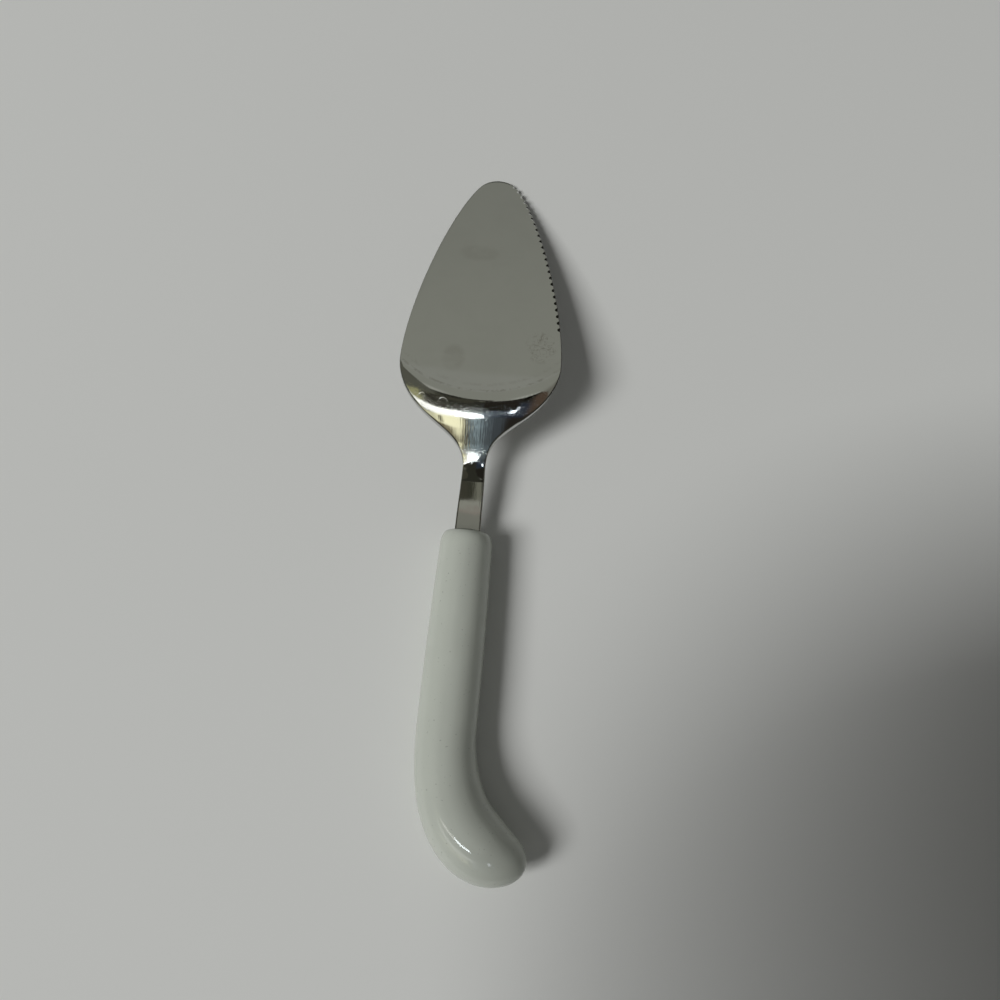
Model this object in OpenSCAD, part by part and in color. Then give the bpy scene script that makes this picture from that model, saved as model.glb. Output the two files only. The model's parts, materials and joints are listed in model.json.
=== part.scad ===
// Cake server: a stamped steel blade, a hollow glazed stoneware handle and the cement between them.
// It lies on its serving face, as when it is put down: +Y runs to the blade's tip,
// +X to the fluted edge and +Z up from the table, and the origin is below the middle of its box.

/* [Blade] */
// Length of the flat, from the crease on the centre line to the tip
blade_len = 101.4; // [80:0.2:130]
// Width of the flat at its widest
blade_w = 58.4; // [46:0.2:72]
// Thickness of the sheet
sheet_t = 1.3; // [0.9:0.05:2]
// Radius of the rounded tip
tip_r = 9.3; // [6:0.1:12]
// Angle that the tip's arc turns through on each side before the flank starts
tip_turn = 55; // [50:1:70]
// Radius of the curved crease, seen square to the flat
crease_r = 42; // [36:0.5:60]
// Bend radius of the crease, at mid sheet
crease_bend_r = 6.5; // [3:0.25:9]
// Slope at which the crease eases into the shoulder's curve, against the handle's line
crease_slope = 22; // [10:1:23]

/* [Shoulder and shank] */
// Bend radius of the shoulder's upper curve
brow_bend_r = 36; // [20:1:60]
// Length of the straight part of the shoulder's slope
shoulder_len = 7; // [3:0.5:14]
// Slope of the shoulder against the handle's line
shoulder_slope = 36; // [24:1:42]
// How far the shoulder's outline sits over to the plain edge
heel_sway = 0.6; // [0:0.1:1.5]
// How far the neck sits over to the fluted edge
neck_sway = 0.5; // [0:0.1:1.5]
// Bend radius between the shoulder and the shank
neck_bend_r = 27; // [12:0.5:35]
// Width of the neck at its narrowest
neck_w = 8.3; // [6:0.1:11]
// Length of the shank, from the neck bend to the handle's mouth
shank_len = 19; // [12:0.5:30]
// Slope of the shank against the handle's line
shank_slope = 9; // [4:0.5:15]
// Width of the shank where it enters the handle
shank_w = 9.6; // [7:0.1:11]

/* [Fluted edge] */
// Radius of each ground flute
flute_r = 0.85; // [0.5:0.05:1]
// Distance between flutes along the edge
flute_pitch = 3.05; // [2.2:0.05:4]
// Distance along the edge from the middle of the tip to the first flute
flute_start = 7.5; // [5:0.5:12]
// Distance along the edge from the last flute to the blade's widest place, at least
flute_stop = 15; // [2:0.5:40]
// Angle of the grinding against the sheet
flute_angle = 45; // [35:1:60]

/* [Tang] */
// Length of the tang inside the handle
tang_len = 42; // [25:1:43]
// Width of the tang
tang_w = 7; // [5:0.25:8.5]
// Depth inside the mouth at which the shank narrows to the tang
tang_shoulder = 4; // [2.5:0.25:8]
// Radius of the bend that sets the tang in line with the handle
tang_bend_r = 12; // [6:0.5:20]
// Radius of each keying notch in the tang's edges
notch_r = 1.1; // [0.6:0.1:1.6]
// Distance between pairs of notches
notch_pitch = 9; // [6:0.5:14]
// Number of pairs of notches
notch_pairs = 3; // [1:1:4]

/* [Handle] */
// Width across the handle just below the lip
mouth_w = 18.6; // [17.4:0.1:24]
// Depth of the handle at the mouth
mouth_d = 18.6; // [16:0.1:24]
// Width across the handle where its bend starts
grip_w = 21.1; // [18:0.1:28]
// Depth of the handle where its bend starts
grip_d = 20.4; // [18:0.1:28]
// Width across the bulb
bulb_w = 24; // [20:0.1:34]
// Depth of the bulb
bulb_d = 23; // [20:0.1:34]
// Length of the straight grip, from the mouth to the start of the bend
grip_len = 68; // [62:0.5:100]
// Angle that the straight grip leans away from the toe
grip_lean = 1; // [0:0.1:3]
// How far the bend runs on along the handle
bend_run = 41.5; // [34:0.1:52]
// How far the bend reaches sideways to the toe
bend_reach = 30.8; // [22:0.1:40]
// Angle that the handle's line has turned through at the toe
toe_turn = 96; // [60:1:105]
// Length of the line's pull at the start of the bend
bend_ease = 24; // [16:0.5:30]
// Length of the line's pull at the toe
toe_ease = 22.5; // [14:0.5:28]
// Wall of the hollow handle
wall = 3.4; // [2.6:0.1:4.1]
// Width of the lip's outer rounding
lip_w = 2.5; // [1:0.1:2.5]
// Length of the lip's outer rounding
lip_len = 4.8; // [2:0.1:6]

/* [Cement] */
// How far the cement's face lies below the lip's inner rounding
cement_recess = 0.6; // [0.3:0.1:3]
// Depth of the cement's far end below the mouth
cement_depth = 50; // [46:1:60]

/* [Hidden] */
// Cuts run past what they cut by this much
overrun = 1;
// Segments of each curve in the outline, in a bend and round the handle
curve_steps = 14;
bend_steps = 6;
round_steps = 36;
lip_steps = 5;
cap_steps = 8;

// Places of the outline's curves, as shares of the flat's length
widest_share = 0.868;
flank_start_share = 0.17;
flank_end_share = 0.26;
heel_pull_share = 0.088;
// Places of the outline's curves on the shoulder, as shares of the shoulder's length in plan
heel_turn_share = 0.3;
narrowest_share = 0.832;
heel_ease_share = 0.416;
neck_start_share = 0.372;
neck_end_share = 0.253;
// Width and direction at the heel's turn, as shares of the blade's half width and of its slope
heel_turn_w_share = 0.555;
heel_turn_angle = 56;

// Place along the bend where the bulb is widest and the end cap starts
bulb_share = 0.6;
// Power of the end cap's rounding
cap_power = 2.2;

// The sheet's path at mid thickness: from the table up the shank and shoulder to the crease
mouth_h = mouth_d / 2;
rise_to_bend = shank_len * sin(shank_slope) + neck_bend_r * (cos(shank_slope) - cos(shoulder_slope));
rise_to_brow = rise_to_bend + shoulder_len * sin(shoulder_slope)
    + brow_bend_r * (cos(crease_slope) - cos(shoulder_slope));
crease_centre_h = mouth_h + rise_to_brow - crease_bend_r * cos(crease_slope);
// The pitch of the flat that brings the tip down to the table
tip_offset = crease_bend_r - sheet_t / 2;
pitch = atan(tip_offset / blade_len) + asin(crease_centre_h / norm([blade_len, tip_offset]));

// Angles of the crease's end, shoulder, shank and tang against the flat
crease_angle = crease_slope + pitch;
shoulder_angle = shoulder_slope + pitch;
shank_angle = shank_slope + pitch;
tang_angle = pitch;

// Distances from the crease circle's centre, in plan, and drops below the flat
crease_end = [crease_r, 0] + crease_bend_r * [sin(crease_angle), cos(crease_angle) - 1];
brow_end = crease_end + brow_bend_r * [sin(shoulder_angle) - sin(crease_angle),
    cos(shoulder_angle) - cos(crease_angle)];
slope_end = brow_end + shoulder_len * [cos(shoulder_angle), -sin(shoulder_angle)];
neck_end = slope_end + neck_bend_r * [sin(shoulder_angle) - sin(shank_angle),
    cos(shoulder_angle) - cos(shank_angle)];
mouth = neck_end + shank_len * [cos(shank_angle), -sin(shank_angle)];
tang_start = mouth + tang_bend_r * [sin(shank_angle) - sin(tang_angle),
    cos(shank_angle) - cos(tang_angle)];
tang_end = tang_start + tang_len * [cos(tang_angle), -sin(tang_angle)];
tip_v = blade_len - crease_r;
shoulder_plan = neck_end[0] - crease_r;

// Points of a bend that turns from one slope to another; turn is +1 where it steepens
function bend(from, start, end, radius, turn) =
    [for (i = [1 : bend_steps])
        let (a = start + (end - start) * i / bend_steps)
        concat(from + turn * radius * [sin(a) - sin(start), cos(a) - cos(start)], a)];

// The path as [distance, height, slope]
sheet_path = concat(
    [[0, 0, 0], [crease_r, 0, 0]],
    bend([crease_r, 0], 0, crease_angle, crease_bend_r, 1),
    bend(crease_end, crease_angle, shoulder_angle, brow_bend_r, 1),
    [concat(slope_end, shoulder_angle)],
    bend(slope_end, shoulder_angle, shank_angle, neck_bend_r, -1),
    [concat(mouth, shank_angle)],
    bend(mouth, shank_angle, tang_angle, tang_bend_r, -1),
    [concat(tang_end, tang_angle)]);

function beside(p, offset) = [p[0] + offset * sin(p[2]), p[1] + offset * cos(p[2])];
function reversed(list) = [for (i = [len(list) - 1 : -1 : 0]) list[i]];

sheet_section = concat(
    [for (p = sheet_path) beside(p, sheet_t / 2)],
    [for (p = reversed(sheet_path)) beside(p, -sheet_t / 2)]);

// A cubic curve, without its first point
function curve_point(a, b, c, d, t) =
    a * pow(1 - t, 3) + b * 3 * t * pow(1 - t, 2) + c * 3 * pow(t, 2) * (1 - t) + d * pow(t, 3);
function curve(a, b, c, d) =
    [for (i = [1 : curve_steps]) curve_point(a, b, c, d, i / curve_steps)];

// Half the outline as [half width, distance from the tip]
half_w = blade_w / 2;
arc_end = tip_r * [sin(tip_turn), 1 - cos(tip_turn)];
widest = [half_w, blade_len * widest_share];
heel_turn = [half_w * heel_turn_w_share, blade_len + shoulder_plan * heel_turn_share];
heel_way = [-sin(heel_turn_angle), cos(heel_turn_angle)];
narrowest = [neck_w / 2, blade_len + shoulder_plan * narrowest_share];
mouth_edge = [shank_w / 2, blade_len + mouth[0] - crease_r];
tang_corner = [tang_w / 2, mouth_edge[1] + tang_shoulder + (shank_w - tang_w) / 2];

tip_arc = [for (i = [0 : curve_steps]) let (a = tip_turn * i / curve_steps)
    tip_r * [sin(a), 1 - cos(a)]];
flank = curve(arc_end,
    arc_end + blade_len * flank_start_share * [cos(tip_turn), sin(tip_turn)],
    widest - [0, blade_len * flank_end_share], widest);
heel = curve(widest, widest + [0, blade_len * heel_pull_share],
    heel_turn - shoulder_plan * heel_ease_share * heel_way, heel_turn);
neck = curve(heel_turn, heel_turn + shoulder_plan * neck_start_share * heel_way,
    narrowest - [0, shoulder_plan * neck_end_share], narrowest);
shank_and_tang = [mouth_edge, mouth_edge + [0, tang_shoulder], tang_corner,
    [tang_w / 2, blade_len + tang_end[0] - crease_r]];

half_outline = concat(tip_arc, flank, heel, neck, shank_and_tang);

// The outline's middle sways a little between the widest place, the heel, the neck and the mouth
sway_line = [[widest[1], 0], [heel_turn[1], -heel_sway], [narrowest[1], neck_sway], [mouth_edge[1], 0]];
function eased(t) = t * t * (3 - 2 * t);
function sway_between(a, b, s) = a[1] + (b[1] - a[1]) * eased((s - a[0]) / (b[0] - a[0]));
function sway(s, i = 0) =
    s <= sway_line[0][0] || i == len(sway_line) - 1 ? 0
    : s <= sway_line[i + 1][0] ? sway_between(sway_line[i], sway_line[i + 1], s)
    : sway(s, i + 1);
function on_flat(p) = [p[0] + sway(p[1]), tip_v - p[1]];
outline = concat(
    [for (p = half_outline) on_flat(p)],
    [for (p = reversed(half_outline)) if (p[0] > 0) on_flat([-p[0], p[1]])]);

// Lengths along the fluted edge, for placing flutes at an even pitch
edge = concat(tip_arc, flank, heel);
function edge_length(i) = i == 0 ? 0 : edge_length(i - 1) + norm(edge[i] - edge[i - 1]);
edge_x = [for (i = [0 : len(edge) - 1]) [edge_length(i), edge[i][0]]];
edge_s = [for (i = [0 : len(edge) - 1]) [edge_length(i), edge[i][1]]];
function edge_at(d) = on_flat([lookup(d, edge_x), lookup(d, edge_s)]);
widest_at = edge_length(len(tip_arc) + len(flank) - 1);
flute_count = 1 + floor((widest_at - flute_stop - flute_start) / flute_pitch);

// The handle's centre line, with the mouth at the start: k runs 0 to 1 along the straight grip
// and 1 to 2 round the bend
grip_way = [-sin(grip_lean), -cos(grip_lean)];
grip_end = grip_len * grip_way;
toe = [grip_end[0] + bend_reach, grip_end[1] - bend_run];
toe_way = [sin(toe_turn), -cos(toe_turn)];
bend_a = grip_end + bend_ease * grip_way;
bend_b = toe - toe_ease * toe_way;
function line_at(k) = k <= 1 ? grip_end * k : curve_point(grip_end, bend_a, bend_b, toe, k - 1);
function pull(a, b, c, d, t) =
    (b - a) * pow(1 - t, 2) + (c - b) * 2 * t * (1 - t) + (d - c) * pow(t, 2);
function way_at(k) = let (w = k <= 1 ? grip_way : pull(grip_end, bend_a, bend_b, toe, k - 1)) w / norm(w);

// Half width and half depth of the full handle at k, as one size that swells to the bulb
function swell(k, at_mouth, at_grip, at_bulb) =
    k <= 1 ? at_mouth + (at_grip - at_mouth) * (1 - pow(1 - k, 2))
    : at_grip + (at_bulb - at_grip) * pow(sin(90 * min(1, (k - 1) / bulb_share)), 2);
function half_width(k) = swell(k, mouth_w, grip_w, bulb_w) / 2;
function half_depth(k) = swell(k, mouth_d, grip_d, bulb_d) / 2;

// One ring round the centre line, drawn in by inset and then shrunk by share
function ring(k, inset, share) =
    let (c = line_at(k), w = way_at(k), hw = half_width(k), hd = half_depth(k))
    [for (j = [0 : round_steps - 1])
        let (a = 360 * j / round_steps, out = (hw - inset) * share * cos(a))
        [c[0] - out * w[1], c[1] + out * w[0], hd + (hd - inset) * share * sin(a)]];
function middle(k) = let (c = line_at(k)) [c[0], c[1], half_depth(k)];

// Share of the full size on an end cap that closes at end
function cap_k(end, a) = 1 + bulb_share + (end - bulb_share - 1) * sin(a);
function cap_share(a) = pow(1 - pow(sin(a), cap_power), 1 / cap_power);

// A closed skin over rings, with a point at each end
function skin_points(start, rings, end) = concat([start], [for (r = rings) each r], [end]);
function skin_faces(rings) =
    let (n = round_steps, m = len(rings), last = 1 + m * n)
    concat(
        [for (j = [0 : n - 1]) [0, 1 + (j + 1) % n, 1 + j]],
        [for (i = [0 : m - 2]) for (j = [0 : n - 1])
            let (a = 1 + i * n + j, b = 1 + i * n + (j + 1) % n) each [[a, b, b + n], [a, b + n, a + n]]],
        [for (j = [0 : n - 1]) [1 + (m - 1) * n + j, 1 + (m - 1) * n + (j + 1) % n, last]]);

grip_steps = 7;
swell_steps = 6;
inner_lip = wall - lip_w;
inner_end = 2 - wall / (3 * toe_ease);
// Stations of the socket that the cement fills
socket_steps = 5;
cement_face = inner_lip + cement_recess;
function socket_k(i) = (cement_face + (cement_depth - cement_face) * i / socket_steps) / grip_len;

outer_rings = concat(
    [for (i = [cap_steps - 1 : -1 : 1]) let (a = 90 * i / cap_steps) ring(cap_k(2, a), 0, cap_share(a))],
    [for (i = [swell_steps : -1 : 0]) ring(1 + bulb_share * i / swell_steps, 0, 1)],
    [for (i = [grip_steps - 1 : -1 : 1]) ring((lip_len + (grip_len - lip_len) * i / grip_steps) / grip_len, 0, 1)],
    [for (i = [0 : lip_steps]) let (a = 90 * i / lip_steps)
        ring(lip_len * (1 - sin(a)) / grip_len, lip_w * (1 - cos(a)), 1)]);
inner_rings = concat(
    [for (i = [1 : lip_steps]) let (a = 90 * i / lip_steps)
        ring(inner_lip * (1 - cos(a)) / grip_len, lip_w + inner_lip * sin(a), 1)],
    [for (i = [0 : socket_steps]) ring(socket_k(i), wall, 1)],
    [for (i = [0 : swell_steps]) ring(1 + bulb_share * i / swell_steps, wall, 1)],
    [for (i = [1 : cap_steps - 1]) let (a = 90 * i / cap_steps) ring(cap_k(inner_end, a), wall, cap_share(a))]);
handle_rings = concat(outer_rings, inner_rings);
handle_points = skin_points(middle(2), handle_rings, middle(inner_end));

// The blade's own frame lies in its flat, at the centre of the crease's circle
blade_y = mouth[0] * cos(pitch) - mouth[1] * sin(pitch);
blade_z = mouth_h - mouth[0] * sin(pitch) - mouth[1] * cos(pitch);

// The whole part's box, which sets the origin
tip_y = blade_y + tip_v * cos(pitch) + sheet_t / 2 * sin(pitch);
box_low = [min(-half_w, min([for (p = handle_points) p[0]])), min([for (p = handle_points) p[1]])];
box_high = [max(half_w, max([for (p = handle_points) p[0]])), tip_y];
box_middle = (box_low + box_high) / 2;
echo(pitch = pitch, size = box_high - box_low, mouth_at = -box_middle);
echo(crease_top = blade_z + sheet_t / 2 + crease_r * sin(pitch));
serving_point = [-box_middle[0], blade_y - sheet_t / 2 * sin(pitch) - box_middle[1],
    blade_z - sheet_t / 2 * cos(pitch)];
echo(serving_face = serving_point, normal = [0, -sin(pitch), -cos(pitch)]);

module place() {
    translate([-box_middle[0], -box_middle[1], 0]) children();
}

// The sheet before it is cut to its outline: the flat towards the tip, and the crease, shoulder,
// shank and tang turned about the crease's centre on the handle's side
module bent_sheet() {
    rotate([0, 0, 180]) rotate_extrude(angle = 180, $fn = 180) polygon(sheet_section);
    translate([-half_w - overrun, -overrun, -sheet_t / 2])
        cube([blade_w + 2 * overrun, tip_v + 2 * overrun, sheet_t]);
}

module outline_prism() {
    depth = norm(tang_end);
    translate([0, 0, -depth]) linear_extrude(depth + sheet_t + overrun) polygon(outline);
}

// Flutes ground across the upper corner of the +X edge
module flutes() {
    reach = 2 * (sheet_t + flute_r) / sin(flute_angle);
    for (i = [0 : flute_count - 1]) {
        d = flute_start + flute_pitch * i;
        at = edge_at(d);
        along = edge_at(d + flute_r) - edge_at(d - flute_r);
        translate([at[0], at[1], sheet_t / 2])
            rotate([0, 0, atan2(along[1], along[0]) + 90])
            rotate([0, 90 + flute_angle, 0])
            cylinder(r = flute_r, h = reach, center = true, $fn = 32);
    }
}

// Notches in the tang's edges, where the cement keys in
module notches() {
    tang_middle = (tang_start + tang_end) / 2;
    for (i = [0 : notch_pairs - 1], side = [-1, 1]) {
        from_middle = (i - (notch_pairs - 1) / 2) * notch_pitch;
        translate([side * tang_w / 2, -tang_middle[0] - from_middle * cos(tang_angle), tang_middle[1]])
            cylinder(r = notch_r, h = tang_len, center = true, $fn = 32);
    }
}

module blade_metal() {
    translate([0, blade_y, blade_z]) rotate([-pitch, 0, 0])
        difference() {
            intersection() {
                bent_sheet();
                outline_prism();
            }
            flutes();
            notches();
        }
}

module blade() {
    color([0.62, 0.63, 0.62]) place() blade_metal();
}

module handle() {
    color([0.9, 0.91, 0.88]) place()
        polyhedron(points = handle_points, faces = skin_faces(handle_rings), convexity = 6);
}

module cement() {
    socket_rings = [for (i = [0 : socket_steps]) ring(socket_k(i), wall, 1)];
    color([0.7, 0.69, 0.66]) place()
        difference() {
            polyhedron(
                points = skin_points(middle(socket_k(0)), socket_rings, middle(socket_k(socket_steps))),
                faces = skin_faces(socket_rings), convexity = 2);
            blade_metal();
        }
}

blade();
handle();
cement();
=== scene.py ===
"""Cake server: polished blade, glazed handle and the cement between them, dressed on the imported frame."""

import json
import math

import bmesh
import bpy
import numpy as np
from bpy.props import FloatProperty, FloatVectorProperty, IntProperty, PointerProperty
from mathutils import Matrix, Vector


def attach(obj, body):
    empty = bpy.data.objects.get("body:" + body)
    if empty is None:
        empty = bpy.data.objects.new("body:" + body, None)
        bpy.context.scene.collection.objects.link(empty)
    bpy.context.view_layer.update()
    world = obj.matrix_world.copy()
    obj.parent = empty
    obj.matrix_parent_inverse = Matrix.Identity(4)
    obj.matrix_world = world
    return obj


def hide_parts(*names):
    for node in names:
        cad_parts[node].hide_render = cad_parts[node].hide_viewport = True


bl_info = {
    "name": "Cake Server",
    "version": (1, 0, 0),
    "blender": (4, 5, 0),
    "location": "3D View > Sidebar > Cake Server",
    "description": "Builds a cake server with a polished steel blade and a glazed handle",
    "category": "Add Mesh",
}

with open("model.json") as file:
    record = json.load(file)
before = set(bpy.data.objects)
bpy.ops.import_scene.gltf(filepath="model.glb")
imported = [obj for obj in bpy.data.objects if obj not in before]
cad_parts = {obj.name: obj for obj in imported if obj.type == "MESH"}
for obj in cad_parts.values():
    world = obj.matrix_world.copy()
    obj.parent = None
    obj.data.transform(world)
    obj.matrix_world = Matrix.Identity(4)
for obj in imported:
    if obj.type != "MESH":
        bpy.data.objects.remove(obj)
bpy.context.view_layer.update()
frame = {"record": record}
SERVING_FACE = frame["record"]["mounts"][0]
MM = 0.001


def length(name, description, millimetres):
    return FloatProperty(name=name, description=description, default=millimetres * MM, unit="LENGTH", precision=5)


def angle(name, description, degrees):
    return FloatProperty(name=name, description=description, default=math.radians(degrees), subtype="ANGLE")


def share(name, description, value):
    return FloatProperty(name=name, description=description, default=value, min=0.0, max=1.0, subtype="FACTOR")


def number(name, description, value):
    return FloatProperty(name=name, description=description, default=value)


def count(name, description, value):
    return IntProperty(name=name, description=description, default=value, min=1)


def colour(name, description, value):
    return FloatVectorProperty(name=name, description=description, default=value, size=3,
                               subtype="COLOR", min=0.0, max=1.0)


# Sizes, finishes and the studio's settings

class BladeSizes(bpy.types.PropertyGroup):
    blade_len: length("Flat length", "From the crease to the tip", 101.4)
    blade_w: length("Flat width", "Width of the flat at its widest", 58.4)
    sheet_t: length("Sheet", "Thickness of the sheet", 1.3)
    rim_r: length("Rim rounding", "Rounding of the polished rim", 0.42)
    tip_r: length("Tip radius", "Radius of the rounded tip", 9.3)
    tip_turn: angle("Tip turn", "Angle that the tip's arc turns through on each side", 55)
    crease_r: length("Crease radius", "Radius of the curved crease, seen square to the flat", 42)
    crease_bend_r: length("Crease bend", "Bend radius of the crease", 6.5)
    crease_slope: angle("Crease slope", "Slope at which the crease eases into the shoulder", 22)
    brow_bend_r: length("Brow bend", "Bend radius of the shoulder's upper curve", 36)
    shoulder_len: length("Shoulder", "Length of the straight part of the shoulder's slope", 7)
    shoulder_slope: angle("Shoulder slope", "Slope of the shoulder against the handle's line", 36)
    heel_sway: length("Heel sway", "How far the shoulder's outline sits over to the plain edge", 0.6)
    neck_sway: length("Neck sway", "How far the neck sits over to the fluted edge", 0.5)
    neck_bend_r: length("Neck bend", "Bend radius between the shoulder and the shank", 27)
    neck_w: length("Neck width", "Width of the neck at its narrowest", 8.3)
    shank_len: length("Shank length", "From the neck bend to the handle's mouth", 19)
    shank_slope: angle("Shank slope", "Slope of the shank against the handle's line", 9)
    shank_w: length("Shank width", "Width of the shank where it enters the handle", 9.6)
    flute_r: length("Flute radius", "Radius of each ground flute", 0.85)
    flute_pitch: length("Flute pitch", "Distance between flutes along the edge", 3.05)
    flute_start: length("First flute", "From the middle of the tip to the first flute", 7.5)
    flute_stop: length("Last flute", "From the last flute to the widest place, at least", 15)
    flute_angle: angle("Flute angle", "Angle of the grinding against the sheet", 45)
    tang_len: length("Tang length", "Length of the tang inside the handle", 42)
    tang_w: length("Tang width", "Width of the tang", 7)
    tang_shoulder: length("Tang shoulder", "Depth at which the shank narrows to the tang", 4)
    tang_bend_r: length("Tang bend", "Bend radius that sets the tang in line with the handle", 12)
    notch_r: length("Notch radius", "Radius of each keying notch", 1.1)
    notch_pitch: length("Notch pitch", "Distance between pairs of notches", 9)
    notch_pairs: count("Notch pairs", "Number of pairs of notches", 3)
    neck_crown: length("Neck crown", "How far the neck's edges drop below its middle", 0.5)
    flat_step: angle("Flat step", "How much steeper the neck stays until the flat of the shank starts", 3.7)
    neck_kink: angle("Neck kink", "How much less steep the neck is just below the shoulder than an even bend", -5.6)
    flat_start: length("Flat start", "From the end of the neck bend to the flat of the shank", 0.95)
    columns: count("Columns", "Faces across the blade", 44)


class HandleSizes(bpy.types.PropertyGroup):
    mouth_w: length("Mouth width", "Width across the handle just below the lip", 18.6)
    mouth_d: length("Mouth depth", "Depth of the handle at the mouth", 18.6)
    grip_w: length("Grip width", "Width across the handle where its bend starts", 21.1)
    grip_d: length("Grip depth", "Depth of the handle where its bend starts", 20.4)
    bulb_w: length("Bulb width", "Width across the bulb", 24)
    bulb_d: length("Bulb depth", "Depth of the bulb", 23)
    grip_len: length("Grip length", "From the mouth to the start of the bend", 68)
    grip_lean: angle("Grip lean", "Angle that the straight grip leans away from the toe", 1)
    bend_run: length("Bend run", "How far the bend runs on along the handle", 41.5)
    bend_reach: length("Bend reach", "How far the bend reaches sideways to the toe", 30.8)
    toe_turn: angle("Toe turn", "Angle that the handle's line has turned through at the toe", 96)
    bend_ease: length("Bend ease", "Length of the line's pull at the start of the bend", 24)
    toe_ease: length("Toe ease", "Length of the line's pull at the toe", 22.5)
    wall: length("Wall", "Wall of the hollow handle", 3.4)
    lip_w: length("Lip width", "Width of the lip's outer rounding", 2.5)
    lip_len: length("Lip length", "Length of the lip's outer rounding", 4.8)
    cement_recess: length("Cement recess", "How far the cement lies below the lip's inner rounding", 0.6)
    cement_depth: length("Cement depth", "Depth of the cement's far end below the mouth", 50)
    bulb_share: share("Bulb place", "Place along the bend where the bulb is widest", 0.6)
    cap_power: number("Cap power", "Power of the end cap's rounding", 2.2)
    sides: count("Sides", "Faces round the handle", 96)


class Finishes(bpy.types.PropertyGroup):
    steel: colour("Steel", "Colour of the polished steel", (0.60, 0.605, 0.585))
    steel_rough: share("Steel roughness", "Roughness of the clean polished steel", 0.015)
    glaze: colour("Glaze", "Colour of the glaze", (0.55, 0.58, 0.515))
    glaze_rough: share("Glaze roughness", "Roughness of the glaze", 0.06)
    cement: colour("Cement", "Colour of the set cement", (0.33, 0.32, 0.29))


class Studio(bpy.types.PropertyGroup):
    floor: colour("Floor", "Colour of the floor", (0.79, 0.80, 0.775))
    key_power: number("Key light", "Power of the strip of light, in watts", 525.0)
    room: number("Room light", "Strength of the room's light", 1.0)
    band: number("Bright band", "Brightness of the bright band that the blade mirrors", 1.75)
    lamp: number("Strip lamp", "Brightness of the strip lamp that the glaze mirrors", 16.0)
    ambient: colour("Ambient", "Colour of the soft light from all round", (0.112, 0.112, 0.109))
    lens: number("Lens", "Focal length of the camera, in millimetres", 27.04)
    camera: FloatVectorProperty(name="Camera", description="Place of the camera", size=3, unit="LENGTH",
                                default=(0.014493, -0.048787, 0.281), precision=5)
    camera_tip: angle("Camera tip", "How far the camera tips forward from looking straight down", 10)
    camera_turn: angle("Camera turn", "How far the camera turns about the vertical", 4.6)


# Curves

# Places and pulls of the blade's outline, as shares of the flat's length or width or of the shoulder's plan
WIDEST = 0.868
FLANK_START, FLANK_END = 0.17, 0.26
HEEL_PULL, HEEL_EASE = 0.088, 0.416
HEEL_TURN, HEEL_TURN_W, HEEL_TURN_ANGLE = 0.3, 0.555, math.radians(56)
NECK_START, NECK_END, NARROWEST = 0.372, 0.253, 0.832

# The neck's rounded back: its middle and reach as shares of the neck's bend, and how sharply its edges drop
CROWN_MIDDLE, CROWN_REACH, CROWN_POWER = 0.60, 0.42, 2.2


def on_cubic(a, b, c, d, t):
    return a * (1 - t) ** 3 + b * 3 * t * (1 - t) ** 2 + c * 3 * t * t * (1 - t) + d * t ** 3


def cubic(a, b, c, d, steps):
    """Points of a cubic curve, without its first."""
    return on_cubic(a, b, c, d, np.linspace(0, 1, steps + 1)[1:, None])


def straight(a, b, steps):
    """Points of a straight line, without its first."""
    return a + (np.array(b) - a) * np.linspace(0, 1, steps + 1)[1:, None]


class Edge:
    """One long edge of the blade's outline in plan, from the tip to the tang's end, by distance along it."""

    def __init__(self, points, side):
        self.points, self.side = points, side
        self.steps = np.concatenate([[0], np.cumsum(np.linalg.norm(np.diff(points, axis=0), axis=1))])
        below = points[:, 1] < 0
        self.below = (np.hypot(points[:, 0], points[:, 1])[below], self.steps[below])

    def at_radius(self, r):
        """Distance along the edge at which it lies so far from the crease's centre."""
        return float(np.interp(r, *self.below))

    def place(self, d):
        return np.array([np.interp(d, self.steps, self.points[:, i]) for i in (0, 1)])

    def inward(self, d):
        w = self.place(d + 2e-4) - self.place(d - 2e-4)
        return np.array([w[1], -w[0]]) / np.linalg.norm(w) * self.side


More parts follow.
